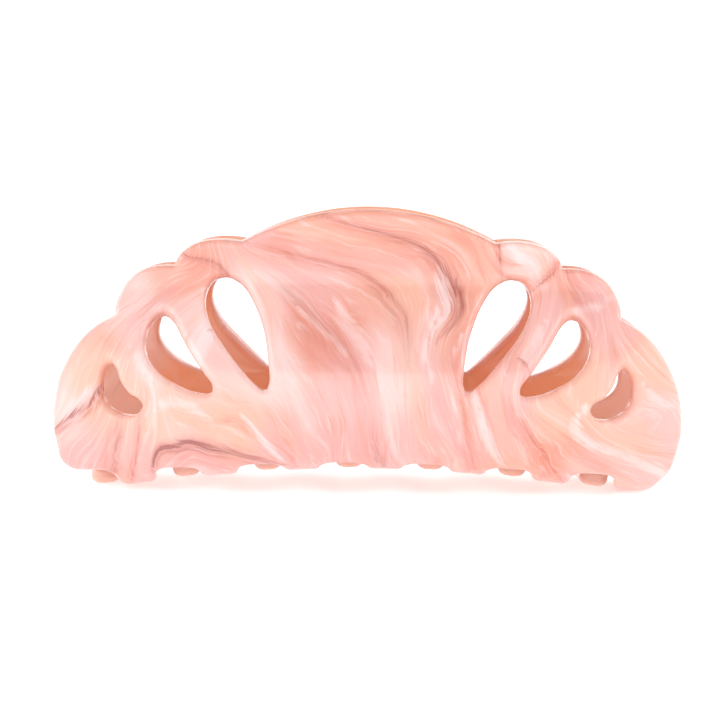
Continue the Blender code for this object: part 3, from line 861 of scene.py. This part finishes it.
class Swirl:
    """The wandering streaks of one jaw, from broad bands down to hair lines."""

    def __init__(self, graph, seed):
        self.graph = graph
        self.seed = seed
        self.across = graph.field("across")
        self.along = graph.field("along")
        self.depth = graph.field("depth")
        self.deep = graph.times(self.depth, DEPTH_SHARE)
        self.sway = self.wander(0.10, 0.055, 0)
        self.ripple = self.wander(0.30, 0.12, 7)
        swayed = graph.plus(self.across, graph.times(self.sway, SWAY_MM))
        self.shifted = graph.plus(swayed, graph.times(self.ripple, RIPPLE_MM))
        self.broad = self.streaks(0.14, 0.030, 11.0, 2.0, 0.5)
        self.medium = self.streaks(0.42, 0.055, 23.0, 4.0, 0.6)
        self.fine = self.streaks(1.35, 0.10, 37.0, 4.0, 0.62)
        self.hair = self.streaks(3.6, 0.16, 51.0, 3.0, 0.6)

    def wander(self, across_scale, along_scale, offset):
        """Slow noise about zero that pushes the streaks sideways."""
        graph = self.graph
        where = graph.vector(graph.times(self.across, across_scale),
                             graph.times(self.along, along_scale), self.seed + offset)
        return graph.less(graph.noise(where, 1.0, 2.0, 0.5), 0.5)

    def streaks(self, across_scale, along_scale, offset, detail, rough):
        """Noise drawn out along the swirl."""
        graph = self.graph
        where = graph.vector(graph.times(self.shifted, across_scale),
                             graph.times(self.along, along_scale),
                             graph.plus(graph.times(self.deep, across_scale), self.seed + offset))
        return graph.noise(where, 1.0, detail, rough)


def streaked_ground(graph, swirl):
    """Ground colour with each fineness of streak laid over it, (from, to, strength, colour)."""
    colour = graph.colour_field("ground")
    for field, start, finish, strength, name in (
            (swirl.broad, 0.50, 0.70, 0.55, "peach"), (swirl.broad, 0.50, 0.32, 0.50, "rose"),
            (swirl.medium, 0.50, 0.76, 0.60, "pearl"), (swirl.medium, 0.46, 0.26, 0.75, "coral"),
            (swirl.fine, 0.54, 0.70, 0.40, "milk"), (swirl.fine, 0.44, 0.28, 0.50, "salmon"),
            (swirl.hair, 0.60, 0.74, 0.22, "milk"), (swirl.hair, 0.40, 0.28, 0.22, "coral")):
        colour = graph.mix(graph.span(field, start, finish, 0.0, strength), colour, PALETTE[name])
    return colour


def with_milk(graph, swirl, colour):
    """Milky streaks, their edges feathered by the fine streaks."""
    feather = graph.times(graph.less(swirl.fine, 0.5), 3.2)
    feather = graph.plus(feather, graph.times(swirl.sway, 1.6))
    for layer in range(LAYERS):
        gap = graph.plus(graph.field(f"milk_gap_{layer}"), feather)
        milk = graph.times(graph.span(gap, 1.25, 0.2, 0.0, 0.9), graph.field(f"milk_power_{layer}"))
        colour = graph.mix(milk, colour, PALETTE["milk"])
    return colour


def with_veins(graph, swirl, colour, share):
    """Dark veins: sharp on one side, smoky on the other, and combed into parallel strands."""
    comb = graph.times(graph.less(swirl.fine, 0.5), 1.5)
    strand = graph.span(swirl.hair, 0.42, 0.56, 0.50, 1.0)
    lines = graph.plus(graph.times(swirl.hair, 1.6), graph.times(swirl.ripple, 1.2))
    for layer in range(LAYERS):
        off = graph.plus(graph.field(f"vein_off_{layer}"), comb)
        bands = graph.maths("SINE", graph.plus(graph.times(off, STRANDS), lines))
        spread = graph.span(off, -VEIN_SPREAD, VEIN_SPREAD, 0.0, 1.0, smooth=False)
        body = graph.ramp(spread, VEIN_PROFILE)
        power = graph.times(graph.field(f"vein_power_{layer}"), strand)
        power = graph.times(power, graph.span(bands, -1.0, 0.4, 0.68, 1.22))
        power = graph.times(power, graph.span(graph.field(f"vein_gap_{layer}"), 2.8, 2.0))
        vein = graph.times(graph.times(body, power), share, clamp=True)
        tone = graph.times(graph.field(f"vein_tone_{layer}"), graph.span(body, 0.35, 0.95, 0.35, 1.0))
        ink = graph.mix(tone, PALETTE["vein_red"], PALETTE["vein_grey"])
        colour = graph.mix(vein, colour, ink)
    return colour


def with_painted_light(graph, depth, colour):
    """Painted light and shade: teeth painted paler where the jaw shades them, cut edges and inner face
    painted deeper orange for light shone through the acetate, and the shaded inner face painted paler
    towards the ends.
    """
    # Painted light: teeth lightened towards their tips, where the jaw above shades them.
    teeth = graph.span(graph.field("height"), -4.0, -12.0, 0.0, 0.70)
    colour = graph.mix(teeth, colour, PALETTE["tip"])
    # Painted shade: cut edges deepened towards orange, for light seen through the acetate's edge.
    plate = graph.span(graph.field("height"), 0.0, 4.0)
    rim = graph.span(graph.maths("ABSOLUTE", depth), 1.25, 0.5, 0.0, 0.30)
    colour = graph.mix(graph.times(rim, plate), colour, PALETTE["rim"])
    # Painted light and shade: the inner face painted deeper orange for light shone through the plate, and
    # paler towards the ends where it lies in shade.
    inner = graph.span(depth, -0.9, -1.5, 0.0, 0.70)
    ends = graph.span(graph.maths("ABSOLUTE", graph.field("side")), 36.5, 42.0)
    colour = graph.mix(graph.times(inner, ends), colour, PALETTE["tip"])
    inner = graph.times(inner, graph.less(1.0, ends))
    return graph.mix(graph.times(inner, plate), colour, PALETTE["painted_inner_orange"])


def jaw_material(name, seed, vein_share):
    """Marbled acetate that reads the fields laid on the jaw."""
    graph = Graph(name)
    swirl = Swirl(graph, seed)
    colour = streaked_ground(graph, swirl)
    colour = with_milk(graph, swirl, colour)
    colour = with_veins(graph, swirl, colour, vein_share)
    # Painted light and shade on the teeth, cut edges and inner faces.
    colour = with_painted_light(graph, swirl.depth, colour)
    graph.feed("Base Color", colour)
    smear = graph.noise(graph.place(), 160.0, 3.0, 0.6)
    graph.feed("Roughness", graph.span(smear, 0.3, 0.7, 0.07, 0.14))
    wave = graph.noise(graph.place(), 210.0, 2.0, 0.5)
    graph.bump(graph.plus(wave, graph.times(swirl.fine, 0.12)), 0.16, 0.0003)
    acetate_finish(graph)
    return graph.material


def lug_material():
    """The same acetate as offcuts: a plain swirl through the solid."""
    graph = Graph("marbled_acetate_lugs")
    where = graph.place()
    swirl = graph.noise(where, 120.0, 3.0, 0.55, 1.6)
    thread = graph.noise(where, 420.0, 4.0, 0.6, 1.2)
    colour = graph.mix(graph.span(swirl, 0.35, 0.65), PALETTE["salmon"], PALETTE["pearl"])
    colour = graph.mix(graph.span(thread, 0.52, 0.72, 0.0, 0.7), colour, PALETTE["milk"])
    colour = graph.mix(graph.span(thread, 0.42, 0.25, 0.0, 0.8), colour, PALETTE["coral"])
    graph.feed("Base Color", colour)
    graph.feed("Roughness", graph.span(swirl, 0.3, 0.7, 0.14, 0.26))
    graph.bump(thread, 0.12, 0.0002)
    acetate_finish(graph)
    return graph.material


def steel_material(name, grain_scale, grain):
    """Polished steel with drawing marks and slight tarnish."""
    graph = Graph(name)
    where = graph.place()
    stretched = graph.nodes.new("ShaderNodeVectorMath")
    stretched.operation = "MULTIPLY"
    graph.put(stretched.inputs[0], where)
    stretched.inputs[1].default_value = grain
    drawn = graph.noise(stretched.outputs[0], grain_scale, 3.0, 0.6)
    cloud = graph.noise(where, 260.0, 3.0, 0.55)
    colour = graph.mix(graph.span(cloud, 0.35, 0.7), PALETTE["steel"], (0.78, 0.77, 0.75))
    colour = graph.mix(graph.span(drawn, 0.55, 0.8, 0.0, 0.35), colour, (0.40, 0.38, 0.36))
    graph.feed("Base Color", colour)
    graph.shader.inputs["Metallic"].default_value = 1.0
    graph.feed("Roughness", graph.span(drawn, 0.3, 0.7, 0.16, 0.32))
    graph.bump(drawn, 0.15, 0.00005)
    return graph.material


def floor_material():
    """Matt white paper with a faint glow of its own."""
    graph = Graph("studio_paper")
    where = graph.place()
    mottle = graph.noise(where, 14.0, 3.0, 0.5)
    colour = graph.mix(graph.span(mottle, 0.3, 0.7), (0.90, 0.90, 0.90), (0.92, 0.92, 0.92))
    graph.feed("Base Color", colour)
    set_inputs(graph.shader, {"Roughness": 0.9, "Specular IOR Level": 0.1, "Emission Color": WHITE,
                              "Emission Strength": PAPER_GLOW})
    return graph.material


# ---- pieces

def new_piece(name, mesh, material):
    piece = bpy.data.objects.new(name, mesh)
    bpy.context.scene.collection.objects.link(piece)
    mesh.materials.clear()
    mesh.materials.append(material)
    return piece


def stand_for(piece, body, slot, *nodes):
    """The piece takes its nodes' place and moves with their body; the slot is not used."""
    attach(piece, body)
    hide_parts(*nodes)


def build_jaws():
    front = new_piece("front_jaw_marbled", formed_jaw("front_jaw_marbled", False, False),
                      jaw_material("marbled_acetate_front", 3.0, 1.0))
    stand_for(front, "front_half", "marbled_acetate", "front_jaw")
    rear = new_piece("rear_jaw_marbled", formed_jaw("rear_jaw_marbled", True, True),
                     jaw_material("marbled_acetate_rear", 61.0, 0.8))
    stand_for(rear, "rear_half", "marbled_acetate", "rear_jaw")


def lug_outline(reach_x):
    """Side view of a front lug round the pin: (y, z) from the hinge axis."""
    foot = []
    for k in range(LUG_FOOT_PIECES + 1):
        z = LUG_FOOT + (LUG_TOP - LUG_FOOT) * k / LUG_FOOT_PIECES
        wall = formed_inner_y(reach_x, HINGE_Z + z)
        foot.append(Vector((wall + LUG_GAP, z)))
    corners = [(p, 0.0) for p in foot]
    corners[0] = (foot[0], LUG_EDGE)
    corners[-1] = (foot[-1], LUG_EDGE)
    for k in range(LUG_TURN_PIECES + 1):
        angle = LUG_TURN_FROM - LUG_TURN * k / LUG_TURN_PIECES
        corners.append((Vector((math.cos(angle), math.sin(angle))) * LUG_R, 0.0))
    return fillet_polygon(corners)


def formed_inner_y(x, z):
    """y of the plate's inner face at station x and height z."""
    slope = (side_profile(z + 0.1) - side_profile(z - 0.1)) / 0.2
    return -side_profile(z) * bow(x) + PLATE_T / 2 * math.sqrt(1 + slope * slope)


def circle(radius, count):
    return [Vector((math.cos(a), math.sin(a))) * radius for a in
            (2 * math.pi * k / count for k in range(count))]


def lug_mesh(name, x, turned_round):
    loops = [lug_outline(abs(x) + LUG_T / 2), circle(PIN_HOLE_R, 48)]
    mesh = sheet_curve(name, loops, LUG_T / 2, LUG_EDGE, 3)
    side_on = Matrix(((0, 0, 1, 0), (1, 0, 0, 0), (0, 1, 0, 0), (0, 0, 0, 1)))
    place = Matrix.Translation(Vector((-x if turned_round else x, 0.0, HINGE_Z)))
    spin = Matrix.Rotation(math.pi if turned_round else 0.0, 4, "Z")
    mesh.transform(Matrix.Scale(MM, 4) @ place @ spin @ side_on)
    smooth_by_angle(mesh, math.radians(40))
    return mesh


def smooth_by_angle(mesh, limit):
    """Smooth shading, kept sharp where two faces meet at more than the limit."""
    body = bmesh.new()
    body.from_mesh(mesh)
    for face in body.faces:
        face.smooth = True
    for edge in body.edges:
        if len(edge.link_faces) == 2 and edge.calc_face_angle() > limit:
            edge.smooth = False
    body.to_mesh(mesh)
    body.free()


def build_lugs():
    """Front lugs, and the same lugs turned half round for the rear jaw."""
    material = lug_material()
    for kind, x in (("outer", -OUTER_LUG_X), ("inner", INNER_LUG_X)):
        for side, turned_round in (("front", False), ("rear", True)):
            node = side + "_" + kind + "_lug"
            piece = new_piece(node + "_marbled", lug_mesh(node, x, turned_round), material)
            stand_for(piece, side + "_half", "marbled_acetate", node)


def turned(name, profile, material):
    """Round piece on the hinge axis from a (radius, distance along X) profile."""
    body = bmesh.new()
    verts = [body.verts.new((x, r, 0.0)) for r, x in profile]
    edges = [body.edges.new(pair) for pair in zip(verts[:-1], verts[1:])]
    bmesh.ops.spin(body, geom=verts + edges, cent=(0, 0, 0), axis=(1, 0, 0), angle=2 * math.pi,
                   steps=TURN_STEPS, use_merge=True)
    bmesh.ops.remove_doubles(body, verts=body.verts, dist=0.0001)
    bmesh.ops.recalc_face_normals(body, faces=body.faces)
    body.transform(Matrix.Scale(MM, 4) @ Matrix.Translation((0.0, 0.0, HINGE_Z)))
    mesh = bpy.data.meshes.new(name)
    body.to_mesh(mesh)
    body.free()
    smooth_by_angle(mesh, math.radians(35))
    return new_piece(name, mesh, material)


def dome(radius, foot, height, pieces):
    """Profile of a shallow dome from its rim to its crown."""
    found = []
    for k in range(pieces + 1):
        angle = math.pi / 2 * k / pieces
        found.append((radius * math.cos(angle), foot + height * math.sin(angle)))
    return found


def build_pin():
    steel = steel_material("polished_steel_pin", 900.0, (0.05, 1.0, 1.0))
    seat = PIN_SEAT
    head = list(reversed(dome(PIN_HEAD_R, seat + 0.3, 1.05, 10)))
    head += [(PIN_HEAD_R, seat + 0.1), (PIN_HEAD_R - 0.1, seat), (PIN_R, seat), (PIN_R, -seat - 0.8),
             (PIN_R - 0.3, -seat - 1.05), (0.0, -seat - 1.05)]
    stand_for(turned("hinge_pin_polished", head, steel), "rear_half", "polished_steel", "hinge_pin")
    cap = [(0.0, -seat - 1.2), (PIN_R + 0.08, -seat - 1.2), (PIN_R + 0.08, -seat),
           (PIN_HEAD_R - 0.1, -seat), (PIN_HEAD_R, -seat - 0.1), (PIN_HEAD_R, -seat - 0.9)]
    cap += [(r, -x) for r, x in dome(PIN_HEAD_R, seat + 0.9, 1.05, 10)[1:]]
    stand_for(turned("pin_end_cap_polished", cap, steel), "rear_half", "polished_steel", "pin_end_cap")


def leg_direction():
    """Unit (y, z) direction of the front leg, which leaves the coil as a tangent."""
    reach = Vector((-LEG_TOP_Y, LEG_TOP_Z))
    along = math.sqrt(reach.length ** 2 - COIL_R ** 2)
    tilt = math.atan2(COIL_R, along)
    return (Matrix.Rotation(-tilt, 2) @ reach).normalized()


def spring_path():
    """Centre line of the wire, (x, y, z) from the middle of the hinge axis."""
    way = leg_direction()
    touch = Vector((-way.y, way.x)) * COIL_R
    start = math.atan2(touch.y, touch.x) % (2 * math.pi)
    turn = 2 * math.pi * COIL_TURNS + (3 * math.pi - 2 * start)
    length = (Vector((-LEG_TOP_Y, LEG_TOP_Z)) - touch).length
    path = []
    for share in (1.0, 0.85, 0.66, 0.5, 0.33, 0.2, 0.1):
        place = touch + way * (length * share)
        path.append(Vector((-COIL_HALF, place.x, place.y)))
    legs = len(path)
    pieces = round(turn / math.radians(9))
    for k in range(pieces + 1):
        angle = start + turn * k / pieces
        x = -COIL_HALF + 2 * COIL_HALF * k / pieces
        path.append(Vector((x, COIL_R * math.cos(angle), COIL_R * math.sin(angle))))
    path += [Vector((-p.x, -p.y, p.z)) for p in reversed(path[:legs])]
    return path


def build_spring():
    curve = bpy.data.curves.new("torsion_spring_wire", "CURVE")
    curve.dimensions = "3D"
    curve.bevel_depth = WIRE_R * MM
    curve.bevel_resolution = 5
    curve.use_fill_caps = True
    path = spring_path()
    spline = curve.splines.new("POLY")
    spline.points.add(len(path) - 1)
    for point, place in zip(spline.points, path):
        point.co = (*((place + Vector((0.0, 0.0, HINGE_Z))) * MM), 1.0)
    mesh = mesh_of_curve("torsion_spring_wire", curve, 0.000001)
    smooth_by_angle(mesh, math.radians(50))
    steel = steel_material("polished_steel_wire", 1400.0, (1.0, 1.0, 0.3))
    spring = new_piece("torsion_spring_wire", mesh, steel)
    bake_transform(spring)
    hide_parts("torsion_spring")


# ---- studio

def build_backdrop():
    """White paper bowl: a round floor that curves up into a wall all the way round."""
    profile = [(radius, 0.0) for radius in (0.05, 0.2, 0.4, 0.6, SWEEP_START)]
    for k in range(1, SWEEP_PIECES + 1):
        angle = math.pi / 2 * k / SWEEP_PIECES
        profile.append((SWEEP_START + SWEEP_R * math.sin(angle), SWEEP_R * (1 - math.cos(angle))))
    profile.append((SWEEP_START + SWEEP_R, WALL_TOP))
    body = bmesh.new()
    middle = body.verts.new((0.0, 0.0, 0.0))
    rows = []
    for k in range(TURN_STEPS):
        angle = math.tau * k / TURN_STEPS
        rows.append([body.verts.new((r * math.cos(angle), r * math.sin(angle), z)) for r, z in profile])
    for here, after in zip(rows, rows[1:] + rows[:1]):
        body.faces.new((middle, here[0], after[0])).smooth = True
        for k in range(len(profile) - 1):
            body.faces.new((here[k], here[k + 1], after[k + 1], after[k])).smooth = True
    mesh = bpy.data.meshes.new("studio_sweep")
    body.to_mesh(mesh)
    body.free()
    sweep = new_piece("studio_sweep", mesh, floor_material())


def area_light(name, place, aim, size, power):
    light = bpy.data.lights.new(name, "AREA")
    light.shape = "RECTANGLE"
    light.size, light.size_y = size
    light.energy = power
    lamp = bpy.data.objects.new(name, light)
    bpy.context.scene.collection.objects.link(lamp)
    lamp.location = place
    lamp.rotation_euler = (Vector(aim) - Vector(place)).to_track_quat("-Z", "Y").to_euler()


def build_lights():
    world = bpy.data.worlds.new("studio_air")
    world.use_nodes = True
    set_inputs(world.node_tree.nodes["Background"], {"Color": WHITE, "Strength": AIR_GLOW})
    bpy.context.scene.world = world
    for light in LIGHTS:
        area_light(*light)


def build_camera():
    data = bpy.data.cameras.new("camera")
    data.lens = CAMERA_LENS
    data.sensor_width = 36.0
    data.shift_x, data.shift_y = CAMERA_SHIFT
    data.clip_start = 0.01
    camera = bpy.data.objects.new("camera", data)
    bpy.context.scene.collection.objects.link(camera)
    away = Vector((math.sin(CAMERA_TURN) * math.cos(CAMERA_RISE),
                   -math.cos(CAMERA_TURN) * math.cos(CAMERA_RISE), math.sin(CAMERA_RISE)))
    camera.location = CAMERA_AIM + away * CAMERA_AWAY
    look = (-away).to_track_quat("-Z", "Y").to_matrix()
    camera.rotation_euler = (look @ Matrix.Rotation(CAMERA_ROLL, 3, "Z")).to_euler()
    bpy.context.scene.camera = camera
    bpy.context.scene.view_settings.view_transform = "Standard"


def main():
    build_jaws()
    build_lugs()
    build_pin()
    build_spring()
    build_backdrop()
    build_lights()
    build_camera()


main()
